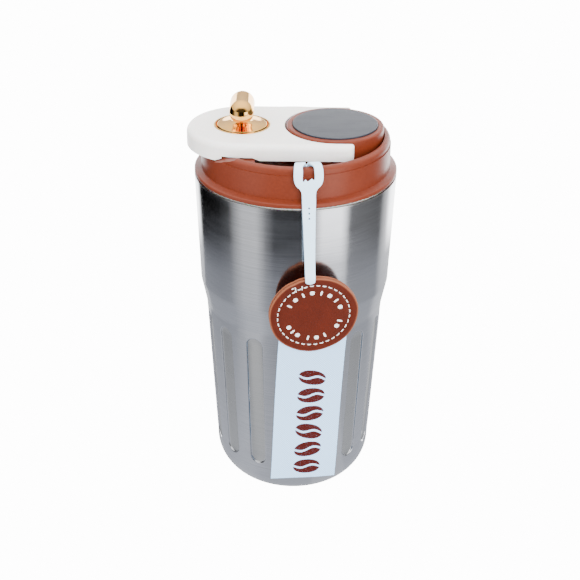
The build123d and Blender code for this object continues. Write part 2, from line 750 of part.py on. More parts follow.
with BuildPart() as tag_stitches:
    with BuildSketch(disc_face(2 * ply + ribbon_sheet)):
        with Locations((disc_x, 0)):
            with PolarLocations(stitch_ring, stitch_count):
                SlotOverall(1.5, 0.5, rotation=90)
    extrude(amount=0.25)
save(tag_stitches, "tag_stitches")

with BuildPart() as tag_ribbon:
    middle = ply + ribbon_sheet / 2
    high = disc_point(middle, ribbon_high - disc_z)
    bend = disc_point(middle, -disc_radius - 0.1)
    low = (bend[0] - (bend[1] - ribbon_low) * tan(radians(ribbon_lean)), ribbon_low)
    with BuildSketch(tag_side()):
        with BuildLine():
            Polyline(high, bend, low)
            offset(amount=ribbon_sheet / 2, side=Side.BOTH, kind=Kind.INTERSECTION)
        make_face()
    extrude(amount=22, both=True)
    with BuildSketch(tag_face(30, disc_z)):
        with Locations(Location((disc_x + ribbon_shift, 0, 0), (0, 0, ribbon_tilt))):
            Rectangle(ribbon_width, 2 * (disc_z - ribbon_low))
    extrude(amount=25, mode=Mode.INTERSECT)
save(tag_ribbon, "tag_ribbon")
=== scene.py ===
import json
from math import copysign, cos, pi, radians, sin

import bmesh
import bpy
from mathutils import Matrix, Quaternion, Vector, noise


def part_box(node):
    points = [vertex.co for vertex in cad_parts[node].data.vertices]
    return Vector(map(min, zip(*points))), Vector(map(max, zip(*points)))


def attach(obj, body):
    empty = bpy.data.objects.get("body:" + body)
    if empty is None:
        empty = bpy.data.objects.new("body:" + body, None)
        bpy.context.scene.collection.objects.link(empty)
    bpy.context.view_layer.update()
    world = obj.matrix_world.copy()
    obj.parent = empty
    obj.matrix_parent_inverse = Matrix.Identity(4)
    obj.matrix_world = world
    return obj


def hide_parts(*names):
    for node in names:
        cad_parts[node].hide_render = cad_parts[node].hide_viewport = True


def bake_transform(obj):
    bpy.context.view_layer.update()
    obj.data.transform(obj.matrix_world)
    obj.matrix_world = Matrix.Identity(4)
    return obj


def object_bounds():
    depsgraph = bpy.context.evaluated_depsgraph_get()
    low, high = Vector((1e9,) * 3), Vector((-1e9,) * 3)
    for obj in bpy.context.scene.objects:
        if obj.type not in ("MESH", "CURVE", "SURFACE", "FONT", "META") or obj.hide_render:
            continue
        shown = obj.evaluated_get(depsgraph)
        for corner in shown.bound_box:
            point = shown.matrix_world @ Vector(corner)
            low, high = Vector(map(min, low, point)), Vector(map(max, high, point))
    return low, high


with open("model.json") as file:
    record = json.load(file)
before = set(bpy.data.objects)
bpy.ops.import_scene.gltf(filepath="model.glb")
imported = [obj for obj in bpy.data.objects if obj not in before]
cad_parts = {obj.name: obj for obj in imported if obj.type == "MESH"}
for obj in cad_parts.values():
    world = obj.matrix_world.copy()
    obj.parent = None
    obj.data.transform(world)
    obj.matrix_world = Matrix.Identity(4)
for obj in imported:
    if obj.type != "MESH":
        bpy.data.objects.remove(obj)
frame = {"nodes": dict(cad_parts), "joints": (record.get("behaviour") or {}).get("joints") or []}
cad_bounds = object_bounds()
nodes = frame["nodes"]
mm = 0.001

# ---- steel cup ---------------------------------------------------------------------------------
# The outer wall is pressed from stainless sheet, then brushed on a lathe, so every fine line runs
# round the body. The inner cup is drawn from the same sheet and left brighter.


def add_node(tree, kind, feeds=(), **settings):
    """Add a shader node, set it up, and fill or link its inputs."""
    made = tree.nodes.new("ShaderNode" + kind)
    for name, value in settings.items():
        setattr(made, name, value)
    for name, value in dict(feeds).items():
        if isinstance(value, bpy.types.NodeSocket):
            tree.links.new(value, made.inputs[name])
        else:
            made.inputs[name].default_value = value
    return made


def maths(tree, operation, first, second=0.0):
    """Add a Math node and return what it puts out."""
    return add_node(tree, "Math", {0: first, 1: second}, operation=operation).outputs[0]


def remap(tree, value, low, high, to_low=0.0, to_high=1.0):
    """Stretch a value from one range to another, clamped at both ends."""
    feeds = {"Value": value, "From Min": low, "From Max": high, "To Min": to_low, "To Max": to_high}
    return add_node(tree, "MapRange", feeds).outputs["Result"]


def blend_colours(tree, share, first, second):
    """Mix two colours by a share and return the colour."""
    mix = tree.nodes.new("ShaderNodeMix")
    mix.data_type = "RGBA"
    for place, value in ((0, share), (6, first), (7, second)):
        if isinstance(value, bpy.types.NodeSocket):
            tree.links.new(value, mix.inputs[place])
        else:
            mix.inputs[place].default_value = value
    return mix.outputs[2]


def scaled_place(tree, scale):
    """Coordinates of the surface in metres, scaled along each axis."""
    place = add_node(tree, "TexCoord").outputs["Object"]
    return add_node(tree, "Mapping", {"Vector": place, "Scale": scale}).outputs["Vector"]


def mottle(tree, place, scale=1.0, detail=2.0, roughness=0.5):
    """A cloudy value that changes over the surface, from 0 to 1."""
    feeds = {"Vector": place, "Scale": scale, "Detail": detail, "Roughness": roughness}
    return add_node(tree, "TexNoise", feeds).outputs["Fac"]


def new_group(name, inputs, outputs):
    """Start a node group with number inputs and outputs; return its tree and its two end nodes."""
    tree = bpy.data.node_groups.new(name, "ShaderNodeTree")
    for label, value in inputs.items():
        socket = tree.interface.new_socket(label, in_out="INPUT", socket_type="NodeSocketFloat")
        socket.default_value = value
    for label in outputs:
        tree.interface.new_socket(label, in_out="OUTPUT", socket_type="NodeSocketFloat")
    entry = tree.nodes.new("NodeGroupInput")
    leave = tree.nodes.new("NodeGroupOutput")
    return tree, entry, leave


def use_group(tree, group, **values):
    """Place a node group in a material, with this material's own values."""
    placed = tree.nodes.new("ShaderNodeGroup")
    placed.node_tree = group
    for label, value in values.items():
        placed.inputs[label.replace("_", " ")].default_value = value
    return placed


def new_material(name, colour, roughness, **sockets):
    """Start a material; return it with its tree and its shader, whose plain sockets are set."""
    made = bpy.data.materials.new(name)
    made.use_nodes = True
    shader = made.node_tree.nodes["Principled BSDF"]
    shader.inputs["Base Color"].default_value = (*colour, 1)
    shader.inputs["Roughness"].default_value = roughness
    for label, value in sockets.items():
        shader.inputs[label.replace("_", " ")].default_value = value
    return made, made.node_tree, shader


def raise_surface(tree, shader, height, depth, strength=1.0):
    """Feed a height, in units of depth metres, to the shader as a bump."""
    bump = add_node(tree, "Bump", {"Height": height, "Distance": depth, "Strength": strength})
    tree.links.new(bump.outputs["Normal"], shader.inputs["Normal"])


def finish_node(name, made):
    """Give a CAD node its material."""
    slots = nodes[name].data.materials
    slots.clear()
    slots.append(made)


# fine lines left by brushing, the same height all the way round
brushing, entry, leave = new_group("brushing", {"Line Spacing": 0.00025}, ("Line", "Patch"))
rate = maths(brushing, "DIVIDE", 1.0, entry.outputs["Line Spacing"])
place = add_node(brushing, "TexCoord").outputs["Object"]
across = add_node(brushing, "SeparateXYZ", {"Vector": place})
height_in_lines = maths(brushing, "MULTIPLY", across.outputs["Z"], rate)
line_breaks = 38.0
side_x = maths(brushing, "MULTIPLY", across.outputs["X"], line_breaks)
side_y = maths(brushing, "MULTIPLY", across.outputs["Y"], line_breaks)
line_feeds = {"X": side_x, "Y": side_y, "Z": height_in_lines}
line_place = add_node(brushing, "CombineXYZ", line_feeds).outputs["Vector"]
patch_place = scaled_place(brushing, (30, 30, 130))
brushing.links.new(mottle(brushing, line_place, detail=1.0), leave.inputs["Line"])
brushing.links.new(mottle(brushing, patch_place), leave.inputs["Patch"])


def brushed_metal(name, dark, bright, roughness, spacing, turned):
    """Bare metal brushed in one direction. Turned metal catches the light along its rings."""
    made, tree, shader = new_material(
        name, bright, roughness, Metallic=1.0, Anisotropic=turned, Anisotropic_Rotation=0.25
    )
    finish = use_group(tree, brushing, Line_Spacing=spacing)
    share = remap(tree, finish.outputs["Line"], 0.3, 0.7)
    colour = blend_colours(tree, share, (*dark, 1), (*bright, 1))
    tree.links.new(colour, shader.inputs["Base Color"])
    worn = remap(tree, finish.outputs["Patch"], 0.3, 0.7, roughness - 0.04, roughness + 0.05)
    tree.links.new(worn, shader.inputs["Roughness"])
    raise_surface(tree, shader, finish.outputs["Line"], 0.00001, 0.2)
    tangent = add_node(tree, "Tangent", direction_type="RADIAL", axis="Z").outputs["Tangent"]
    tree.links.new(tangent, shader.inputs["Tangent"])
    return made


body_steel = brushed_metal(
    "brushed_body_steel", (0.50, 0.51, 0.54), (0.61, 0.62, 0.655), 0.14, 0.00013, 0.7
)
drawn_steel = brushed_metal(
    "drawn_liner_steel", (0.52, 0.52, 0.53), (0.68, 0.68, 0.69), 0.2, 0.0005, 0.3
)
small_steel = brushed_metal(
    "small_part_steel", (0.45, 0.45, 0.46), (0.6, 0.6, 0.61), 0.28, 0.0003, 0.0
)
# the wheel doesn't reach into the flutes, so they are rougher, and their floors are pressed
# slightly hollow; their darker, warmer colour is painted shade and a painted warm reflection;
# sizes are in millimetres
flute_count = 15
flute_phase = 13.333
flute_reach = 36.3
flute_foot, flute_head = 23.2, 80.3
flute_floor, flute_edge = 3.1, 3.75
scoop_half, scoop_depth = 3.7, 0.0005
tree = body_steel.node_tree
shader = tree.nodes["Principled BSDF"]
spot = add_node(tree, "SeparateXYZ", {"Vector": add_node(tree, "TexCoord").outputs["Object"]})
turn = maths(tree, "ARCTAN2", spot.outputs["Y"], spot.outputs["X"])
pitch = 2 * pi / flute_count
lane = maths(tree, "FRACT", maths(tree, "ADD", maths(tree, "DIVIDE", turn, pitch), flute_phase))
aside = maths(tree, "MULTIPLY", maths(tree, "SUBTRACT", lane, 0.5), pitch * flute_reach)
height = maths(tree, "MULTIPLY", spot.outputs["Z"], 1 / mm)
past_low = maths(tree, "SUBTRACT", flute_foot, height)
past_high = maths(tree, "SUBTRACT", height, flute_head)
past_end = maths(tree, "MAXIMUM", maths(tree, "MAXIMUM", past_low, past_high), 0.0)
aside_squared = maths(tree, "POWER", aside, 2.0)
past_squared = maths(tree, "POWER", past_end, 2.0)
off_line = maths(tree, "POWER", maths(tree, "ADD", aside_squared, past_squared), 0.5)
in_flute = remap(tree, off_line, flute_edge, flute_floor)
scoop_share = maths(tree, "MINIMUM", maths(tree, "DIVIDE", off_line, scoop_half), 1.0)
scoop = maths(tree, "POWER", scoop_share, 2.0)
polished = shader.inputs["Base Color"].links[0].from_socket
# painted shade and a painted warm reflection: the flutes' colour is mixed halfway towards a dark
# warm grey
dull = blend_colours(tree, 0.5, polished, (0.44, 0.43, 0.38, 1))
tree.links.new(blend_colours(tree, in_flute, polished, dull), shader.inputs["Base Color"])
worn = shader.inputs["Roughness"].links[0].from_socket
rougher = maths(tree, "ADD", worn, maths(tree, "MULTIPLY", in_flute, 0.1))
tree.links.new(rougher, shader.inputs["Roughness"])
bump = shader.inputs["Normal"].links[0].from_node
hollow = add_node(tree, "Bump", {"Height": scoop, "Distance": scoop_depth, "Strength": 1.0})
tree.links.new(hollow.outputs["Normal"], bump.inputs["Normal"])
finish_node("outer_shell", body_steel)
for name in ("inner_liner", "base_disc"):
    finish_node(name, drawn_steel)
for name in ("vacuum_seal", "getter_capsule", "hinge_pins", "lock_keeper", "lanyard_pin"):
    finish_node(name, small_steel)
for name in ("plate_screws", "knob_spindle", "spindle_clip", "wave_washer"):
    finish_node(name, small_steel)

# ---- silicone pad, seals and plugs -------------------------------------------------------------
# The foot pad, the lid's ring and the two plugs under the cover are pressed from silicone. It is
# soft and dull, with a dusty bloom in patches.

grain_maps = ("Height", "Tone", "Cloud")
mould_grain, entry, leave = new_group("mould_grain", {"Grain Size": 0.0004}, grain_maps)
rate = maths(mould_grain, "DIVIDE", 1.0, entry.outputs["Grain Size"])
place = add_node(mould_grain, "TexCoord").outputs["Object"]
spark = mottle(mould_grain, place, rate, roughness=0.55)
tone = mottle(mould_grain, place, 900.0, 3.0)
cloud = mottle(mould_grain, place, 55.0, 3.0, 0.6)
for source, label in zip((spark, tone, cloud), grain_maps):
    mould_grain.links.new(source, leave.inputs[label])


def moulding(name, shade, colour, light, roughness, grain, depth, **sockets):
    """Moulded plastic or rubber: fine grain, slow change of tone and cloudy handling marks."""
    made, tree, shader = new_material(name, colour, roughness, **sockets)
    finish = use_group(tree, mould_grain, Grain_Size=grain)
    share = remap(tree, finish.outputs["Tone"], 0.3, 0.7)
    speckled = blend_colours(tree, share, (*shade, 1), (*colour, 1))
    handled = remap(tree, finish.outputs["Cloud"], 0.45, 0.75, 0.0, 0.35)
    mixed = blend_colours(tree, handled, speckled, (*light, 1))
    tree.links.new(mixed, shader.inputs["Base Color"])
    duller = remap(tree, finish.outputs["Cloud"], 0.3, 0.7, roughness - 0.05, roughness + 0.07)
    tree.links.new(duller, shader.inputs["Roughness"])
    raise_surface(tree, shader, finish.outputs["Height"], depth, 0.5)
    return made


foot_rubber = moulding(
    "foot_silicone",
    (0.02, 0.02, 0.02),
    (0.03, 0.029, 0.028),
    (0.07, 0.068, 0.065),
    0.7,
    0.0005,
    0.00006,
)
seal_rubber = moulding(
    "milky_silicone",
    (0.66, 0.64, 0.6),
    (0.76, 0.75, 0.71),
    (0.84, 0.83, 0.8),
    0.48,
    0.0006,
    0.00004,
    Subsurface_Weight=0.25,
    Subsurface_Scale=0.001,
)
finish_node("foot_pad", foot_rubber)
finish_node("disc_adhesive", foot_rubber)
for name in ("lid_seal", "spout_plug", "vent_nub"):
    finish_node(name, seal_rubber)

# ---- lid ---------------------------------------------------------------------------------------
# The lid, its threaded plug and the column are moulded in terracotta plastic with a satin skin.
# Foam fills the plug, and a blue-grey disc is glued into the column's top.

terracotta = moulding(
    "terracotta_lid",
    (0.108, 0.0165, 0.0052),
    (0.122, 0.0195, 0.0066),
    (0.138, 0.024, 0.009),
    0.38,
    0.00035,
    0.00003,
    Specular_IOR_Level=0.3,
)
for name in ("lid_outer", "lid_plug", "lid_column"):
    finish_node(name, terracotta)
white_foam = moulding(
    "expanded_foam",
    (0.7, 0.69, 0.66),
    (0.82, 0.81, 0.78),
    (0.88, 0.87, 0.85),
    0.85,
    0.0015,
    0.0003,
)
finish_node("lid_foam", white_foam)


def satin_disc(name, shade, colour, roughness):
    """Fine straight brushing under a clear satin lacquer."""
    made, tree, shader = new_material(
        name, colour, roughness, Metallic=0.5, Specular_IOR_Level=0.25, Coat_Weight=0.03
    )
    hairs = mottle(tree, scaled_place(tree, (60, 5200, 60)), detail=3.0, roughness=0.65)
    share = remap(tree, hairs, 0.3, 0.7)
    brushed = blend_colours(tree, share, (*shade, 1), (*colour, 1))
    tree.links.new(brushed, shader.inputs["Base Color"])
    slow = mottle(tree, scaled_place(tree, (70, 160, 70)))
    rubbed = remap(tree, slow, 0.3, 0.7, roughness - 0.05, roughness + 0.06)
    tree.links.new(rubbed, shader.inputs["Roughness"])
    raise_surface(tree, shader, hairs, 0.00002, 0.3)
    return made


inlay = satin_disc("blue_grey_inlay", (0.028, 0.032, 0.042), (0.042, 0.047, 0.061), 0.33)
finish_node("inlay_disc", inlay)

# ---- flip cover --------------------------------------------------------------------------------
# The cover and the plate that closes it from below are moulded in warm white ABS with a soft satin
# skin. Its two tines turn on pins in the column, and screws hold the plate.

warm_white = moulding(
    "warm_white_cover",
    (0.78, 0.75, 0.72),
    (0.83, 0.805, 0.78),
    (0.86, 0.84, 0.82),
    0.36,
    0.0003,
    0.00002,
    Subsurface_Weight=0.12,
    Subsurface_Scale=0.0012,
)
for name in ("flip_cover", "cover_plate"):
    finish_node(name, warm_white)
natural_acetal = moulding(
    "natural_acetal",
    (0.7, 0.69, 0.66),
    (0.78, 0.77, 0.75),
    (0.82, 0.82, 0.8),
    0.3,
    0.0004,
    0.00001,
)
finish_node("spindle_bush", natural_acetal)

# ---- gold dish and knob ------------------------------------------------------------------------
# Zinc castings, polished and plated in a warm gold. The plate is a mirror with faint polishing
# waves and a few duller smears where fingers have turned it.


def polished_plate(name, colour, deep, roughness):
    """Mirror plating over a polished casting."""
    made, tree, shader = new_material(name, colour, roughness, Metallic=1.0)
    smears = mottle(tree, scaled_place(tree, (190, 190, 260)), detail=4.0)
    plated = blend_colours(tree, remap(tree, smears, 0.35, 0.75), (*colour, 1), (*deep, 1))
    tree.links.new(plated, shader.inputs["Base Color"])
    dull = remap(tree, smears, 0.45, 0.8, roughness, roughness + 0.12)
    tree.links.new(dull, shader.inputs["Roughness"])
    waves = mottle(tree, scaled_place(tree, (420, 420, 420)), detail=1.0)
    raise_surface(tree, shader, waves, 0.00002, 0.25)
    return made


gold = polished_plate("gold_plate", (1.0, 0.56, 0.16), (0.9, 0.47, 0.11), 0.06)
for name in ("knob_dish", "knob_base", "knob_barrel"):
    finish_node(name, gold)

# ---- strap -------------------------------------------------------------------------------------
# One strip of white coated leather, cut with a slit eye. The eye hooks over a pin behind the rim,
# the strip bends over the rim, and its tail is fixed on the tag's face.

swing = next(joint for joint in frame["joints"] if joint["name"] == "tag_swing")
tag_across = -Vector(swing["axis"]).normalized()
tag_out = Vector((tag_across.y, -tag_across.x, 0))


def tag_spot(across, out, up):
    """A point beside the tag: across it, out from the mug's axis, and up from the base."""
    return tag_across * across + tag_out * out + Vector((0, 0, up))


def smooth_line(points, steps, closed=False):
    """A smooth line through points, as a list with so many steps between each two."""
    count = len(points)
    spans = count if closed else count - 1
    line = []
    for index in range(spans):
        around = []
        for shift in (-1, 0, 1, 2):
            near = index + shift
            near = near % count if closed else min(max(near, 0), count - 1)
            around.append(Vector(points[near]))
        before, start, end, after = around
        for step in range(steps):
            t = step / steps
            line.append(
                0.5
                * (
                    2 * start
                    + (end - before) * t
                    + (2 * before - 5 * start + 4 * end - after) * t * t
                    + (3 * start - before - 3 * end + after) * t * t * t
                )
            )
    if not closed:
        line.append(Vector(points[-1]))
    return line


pin_low, pin_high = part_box("lanyard_pin")
pin_centre = (pin_low + pin_high) / 2
pin_place = Vector((pin_centre.dot(tag_out), pin_centre.z))
wrap_radius = 1.85 * mm
arch_radius = 3.1 * mm
arch_place = Vector((pin_place.x + wrap_radius + arch_radius, 162 * mm))
wrap_from, wrap_sweep, wrap_steps = 110, 250, 13
arch_steps = 14
route = []
for step in range(wrap_steps + 1):
    turn = radians(wrap_from + step * wrap_sweep / wrap_steps)
    route.append(pin_place + wrap_radius * Vector((cos(turn), sin(turn))))
route.append(Vector((pin_place.x + wrap_radius, 160 * mm)))
arch_top = len(route) + arch_steps // 2
for step in range(arch_steps + 1):
    turn = pi - step * pi / arch_steps
    route.append(arch_place + arch_radius * Vector((cos(turn), sin(turn))))
back_low, back_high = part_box("tag_disc_back")
front_low, front_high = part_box("tag_disc_front")
heart = (back_low + back_high) / 2
to_front = (front_low + front_high) / 2 - heart
face_out = to_front.normalized()
face_up = face_out.cross(tag_across)
ply = 1.0 * mm
front_face = to_front.length + ply / 2


def disc_side(up, out):
    """Reach and height of a point, up from the disc's centre and out from its back ply's middle."""
    spot = heart + face_up * up + face_out * out
    return Vector((spot.dot(tag_out), spot.z))


strap_drop = [
    (41.75, 158.6),
    (42.4, 155),
    (43.3, 150.5),
    (44.1, 146),
    (45.9, 137),
    (47.6, 129),
    (48.9, 123.6),
]
route += [Vector(spot) * mm for spot in strap_drop]
route.append(disc_side(18.8 * mm, front_face + 0.65 * mm))
route.append(disc_side(16.3 * mm, front_face + 0.5 * mm))
route_steps = 4
route = smooth_line(route, route_steps)


def lengths(line):
    """How far along a line each of its points lies."""
    travel = [0.0]
    for last, point in zip(line, line[1:]):
        travel.append(travel[-1] + (point - last).length)
    return travel


def walk(line, travel, along):
    """The place and the outward normal, in the side view, so far along a line."""
    index = 0
    while index < len(travel) - 2 and travel[index + 1] < along:
        index += 1
    share = (along - travel[index]) / (travel[index + 1] - travel[index])
    place = line[index].lerp(line[index + 1], share)
    way = []
    for near in (index - 1, index, index + 1):
        near = min(max(near, 0), len(line) - 2)
        way.append((line[near + 1] - line[near]).normalized())
    course = (way[0].lerp(way[1], 0.5 + share / 2) + way[1].lerp(way[2], share / 2)).normalized()
    return place, Vector((-course.y, course.x))


travel = lengths(route)
zero = travel[arch_top * route_steps]


def new_piece(name, mesh):
    """Put a mesh into the scene as a piece."""
    piece = bpy.data.objects.new(name, mesh)
    bpy.context.scene.collection.objects.link(piece)
    return piece


def flat_plate(name, outlines, thickness, edge):
    """A flat plate with rounded edges, cut to outlines. The second and later ones are holes."""
    curve = bpy.data.curves.new(name, "CURVE")
    curve.dimensions = "2D"
    curve.fill_mode = "BOTH"
    curve.extrude = thickness / 2 - edge
    curve.bevel_depth = edge
    curve.bevel_resolution = 2
    curve.offset = -edge
    for outline in outlines:
        spline = curve.splines.new("POLY")
        spline.points.add(len(outline) - 1)
        for point, spot in zip(spline.points, outline):
            point.co = (spot.x, spot.y, 0, 1)
        spline.use_cyclic_u = True
    drawn = bpy.data.objects.new(name + "_drawn", curve)
    bpy.context.scene.collection.objects.link(drawn)
    bpy.context.view_layer.update()
    settled = drawn.evaluated_get(bpy.context.evaluated_depsgraph_get())
    mesh = bpy.data.meshes.new_from_object(settled)
    bpy.data.objects.remove(drawn)
    mesh.name = name
    return new_piece(name, mesh)


def shade_smooth(piece, angle):
    """Smooth shading with creases kept at sharp corners."""
    mesh = piece.data
    for polygon in mesh.polygons:
        polygon.use_smooth = True
    work = bmesh.new()
    work.from_mesh(mesh)
    for edge in work.edges:
        if len(edge.link_faces) == 2 and edge.calc_face_angle(0) > radians(angle):
            edge.smooth = False
    work.to_mesh(mesh)
    work.free()


def slice_along(piece, axis, step):
    """Cut a mesh across an axis at even steps, so that it can bend."""
    work = bmesh.new()
    work.from_mesh(piece.data)
    bmesh.ops.remove_doubles(work, verts=work.verts, dist=0.000002)
    spots = [vertex.co[axis] for vertex in work.verts]
    low, high = min(spots), max(spots)
    normal = Vector((0, 0, 0))
    normal[axis] = 1
    for index in range(1, int((high - low) / step) + 1):
        cut = Vector((0, 0, 0))
        cut[axis] = low + index * step
        parts = work.verts[:] + work.edges[:] + work.faces[:]
        bmesh.ops.bisect_plane(work, geom=parts, plane_co=cut, plane_no=normal, dist=0.000001)
    work.to_mesh(piece.data)
    work.free()


def millimetres(points):
    """Points given in millimetres, as vectors in metres."""
    return [Vector(point) * mm for point in points]


strap_thick = 1.05 * mm
strap_end = travel[-1] - zero
tail_half = 2.05
strap_shift = -1.0 * mm
eye_side = [
    (2.4, -20.5),
    (2.5, -12.0),
    (2.7, -8.0),
    (3.3, -4.5),
    (4.4, -1.6),
    (5.3, 0.6),
    (5.85, 4.0),
    (5.8, 7.0),
    (5.1, 9.3),
    (3.5, 11.0),
    (2.85, 12.8),
    (2.75, 17.0),
    (2.45, 28.0),
    (tail_half + 0.05, 42.0),
]
strap_outline = list(eye_side)
strap_outline += [
    (tail_half, strap_end / mm - 2.6),
    (1.75, strap_end / mm - 0.8),
    (0.0, strap_end / mm),
]
strap_outline += [(-across, along) for across, along in reversed(strap_outline[:-1])]
slit = [
    (0.0, -3.4),
    (0.55, -1.6),
    (1.15, 0.3),
    (2.15, 2.0),
    (2.35, 4.6),
    (2.45, 6.6),
    (2.0, 7.4),
    (1.3, 6.75),
    (0.35, 7.45),
    (-0.5, 7.7),
    (-1.25, 7.0),
    (-2.1, 7.9),
    (-2.4, 6.6),
    (-2.3, 4.6),
    (-2.15, 2.0),
    (-1.15, 0.3),
    (-0.55, -1.6),
]
outlines = [
    smooth_line(millimetres(strap_outline), 6, True),
    smooth_line(millimetres(slit), 5, True),
]
hole_sides = 10
for along in (18.6, 20.7, 22.8):
    hole = []
    for step in range(hole_sides):
        turn = step * 2 * pi / hole_sides
        hole.append(Vector((0.32 * cos(turn), along + 0.42 * sin(turn))) * mm)
    outlines.append(hole)
strap = flat_plate("strap", outlines, strap_thick, 0.3 * mm)
slice_along(strap, 1, 0.45 * mm)
for vertex in strap.data.vertices:
    place, away = walk(route, travel, vertex.co.y + zero)
    spot = place + away * vertex.co.z
    vertex.co = tag_spot(vertex.co.x + strap_shift, spot.x, spot.y)
strap.data.update()
shade_smooth(strap, 50)

hide_grain, entry, leave = new_group("hide_grain", {"Cell Size": 0.0006}, grain_maps)
rate = maths(hide_grain, "DIVIDE", 1.0, entry.outputs["Cell Size"])
place = add_node(hide_grain, "TexCoord").outputs["Object"]
drift = add_node(hide_grain, "TexNoise", {"Vector": place, "Scale": 500.0}).outputs["Color"]
drift_feeds = {0: drift, 1: (0.0004, 0.0004, 0.0004)}
bent = add_node(hide_grain, "VectorMath", drift_feeds, operation="MULTIPLY").outputs[0]
bent = add_node(hide_grain, "VectorMath", {0: place, 1: bent}, operation="ADD").outputs[0]
cell_feeds = {"Vector": bent, "Scale": rate}
cells = add_node(hide_grain, "TexVoronoi", cell_feeds, feature="DISTANCE_TO_EDGE")
pebble = remap(hide_grain, cells.outputs["Distance"], 0.0, 0.28)
fibres = maths(hide_grain, "MULTIPLY", mottle(hide_grain, place, 2600.0), 0.25)
surface = maths(hide_grain, "ADD", pebble, fibres)
cloud = mottle(hide_grain, place, 130.0, 4.0, 0.6)
for source, label in zip((surface, pebble, cloud), grain_maps):
    hide_grain.links.new(source, leave.inputs[label])


def hide(name, crease, colour, pale, roughness, cell, depth, **sockets):
    """Leather: darker in the creases of its grain, with slow clouds of a paler tone."""
    made, tree, shader = new_material(name, colour, roughness, Specular_IOR_Level=0.2, **sockets)
    finish = use_group(tree, hide_grain, Cell_Size=cell)
    grained = blend_colours(tree, finish.outputs["Tone"], (*crease, 1), (*colour, 1))
    clouded = remap(tree, finish.outputs["Cloud"], 0.4, 0.8, 0.0, 0.5)
    colour_out = blend_colours(tree, clouded, grained, (*pale, 1))
    tree.links.new(colour_out, shader.inputs["Base Color"])
    rubbed = remap(tree, finish.outputs["Cloud"], 0.3, 0.75, roughness + 0.06, roughness - 0.06)
    tree.links.new(rubbed, shader.inputs["Roughness"])
    raise_surface(tree, shader, finish.outputs["Height"], depth, 0.6)
    return made, tree, shader, colour_out


white_hide = hide(
    "white_strap_leather",
    (0.52, 0.72, 0.92),
    (0.60, 0.82, 0.99),
    (0.68, 0.86, 0.99),
    0.4,
    0.0004,
    0.00003,
)[0]
strap.data.materials.append(white_hide)
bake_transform(strap)
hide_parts("strap_loop", "strap_tail")

# ---- leather tag -------------------------------------------------------------------------------
# Two round plies of brown leather, stitched together with white waxed thread near the edge. The
# cut edge is paler than the face, and the thread pulls a shallow groove into the front ply.


def half_width(name):
    """Half of a CAD node's width across the tag."""
    spots = [vertex.co.dot(tag_across) for vertex in nodes[name].data.vertices]
    return (max(spots) - min(spots)) / 2


def disc_spot(turn, reach, out):
    """A point on the tag, in polar terms about its middle, out from the back ply's middle."""
    return heart + tag_across * (reach * cos(turn)) + face_up * (reach * sin(turn)) + face_out * out


disc_radius = half_width("tag_disc_front") + 0.1 * mm
stitch_radius = half_width("tag_stitches") - 0.25 * mm


def cut_radius(turn):
    """The radius of the hand-cut disc in a direction. It is nearly a circle."""
    wobble = 0.12 * sin(3 * turn + 0.6) + 0.08 * sin(7 * turn)
    nick = 0.35 * max(0, 1 - abs(turn - radians(118)) / radians(14)) ** 2
    return disc_radius - (0.2 + nick) * mm + wobble * mm


def leather_ply(name, back, front, groove):
    """A round ply with softened edges, and a groove under the stitches on its front."""
    edge = 0.35 * mm
    turns = 160
    # each ring has a share of the disc's radius, or a radius, or a small step in from the edge
    largest_step = 5 * mm
    rings = []
    face = [0.02, 0.12, 0.24, 0.36, 0.48, 0.58, 0.66, 0.71]
    for share in face:
        rings.append((share, None, front))
    for shift in (-0.9, -0.45, 0.0, 0.45, 0.9):
        depth = groove * (1 - abs(shift) / 0.9) ** 0.7
        rings.append((None, stitch_radius + shift * mm, front - depth))
    for share in (0.90, 0.94):
        rings.append((share, None, front))
    for step in range(5):
        turn = step * pi / 8
        rings.append((None, -edge + edge * sin(turn), front - edge + edge * cos(turn)))
    for step in range(5):
        turn = step * pi / 8
        rings.append((None, -edge + edge * cos(turn), back + edge - edge * sin(turn)))
    rings.append((0.9, None, back))
    rings.append((0.5, None, back))
    rings.append((0.02, None, back))
    mesh = bpy.data.meshes.new(name)
    points, faces = [], []
    for share, radius, out in rings:
        for index in range(turns):
            turn = index * 2 * pi / turns
            full = cut_radius(turn)
            if share is not None:
                reach = full * share
            elif radius > largest_step:
                reach = radius
            else:
                reach = full + radius
            wave = 0.1 * mm * noise.noise(Vector((cos(turn) * reach, sin(turn) * reach, 0)) * 110)
            points.append(disc_spot(turn, reach, out + wave))
    for ring in range(len(rings) - 1):
        for index in range(turns):
            after = (index + 1) % turns
            low, high = ring * turns, (ring + 1) * turns
            faces.append((low + index, high + index, high + after, low + after))
    faces.append(tuple(range(turns)))
    faces.append(tuple(reversed(range((len(rings) - 1) * turns, len(rings) * turns))))
    mesh.from_pydata(points, [], faces)
    piece = new_piece(name, mesh)
    work = bmesh.new()
    work.from_mesh(mesh)
    bmesh.ops.recalc_face_normals(work, faces=work.faces)
    work.to_mesh(mesh)
    work.free()
    rim = mesh.attributes.new("rim", "FLOAT", "POINT")
    for index, (share, radius, _) in enumerate(rings):
        near = 1.0 if share is None and radius < largest_step else 0.0
        for step in range(turns):
            rim.data[index * turns + step].value = near
    shade_smooth(piece, 60)
    return piece


brown_hide, tree, shader, face_colour = hide(
    "brown_tag_leather",
    (0.050, 0.0050, 0.0008),
    (0.072, 0.0078, 0.0014),
    (0.088, 0.0105, 0.0024),
    0.42,
    0.0005,
    0.00005,
)
rim = add_node(tree, "Attribute", attribute_name="rim").outputs["Fac"]
cut_edge = (0.19, 0.06, 0.028, 1)
cut = blend_colours(tree, maths(tree, "POWER", rim, 3.0), face_colour, cut_edge)
tree.links.new(cut, shader.inputs["Base Color"])

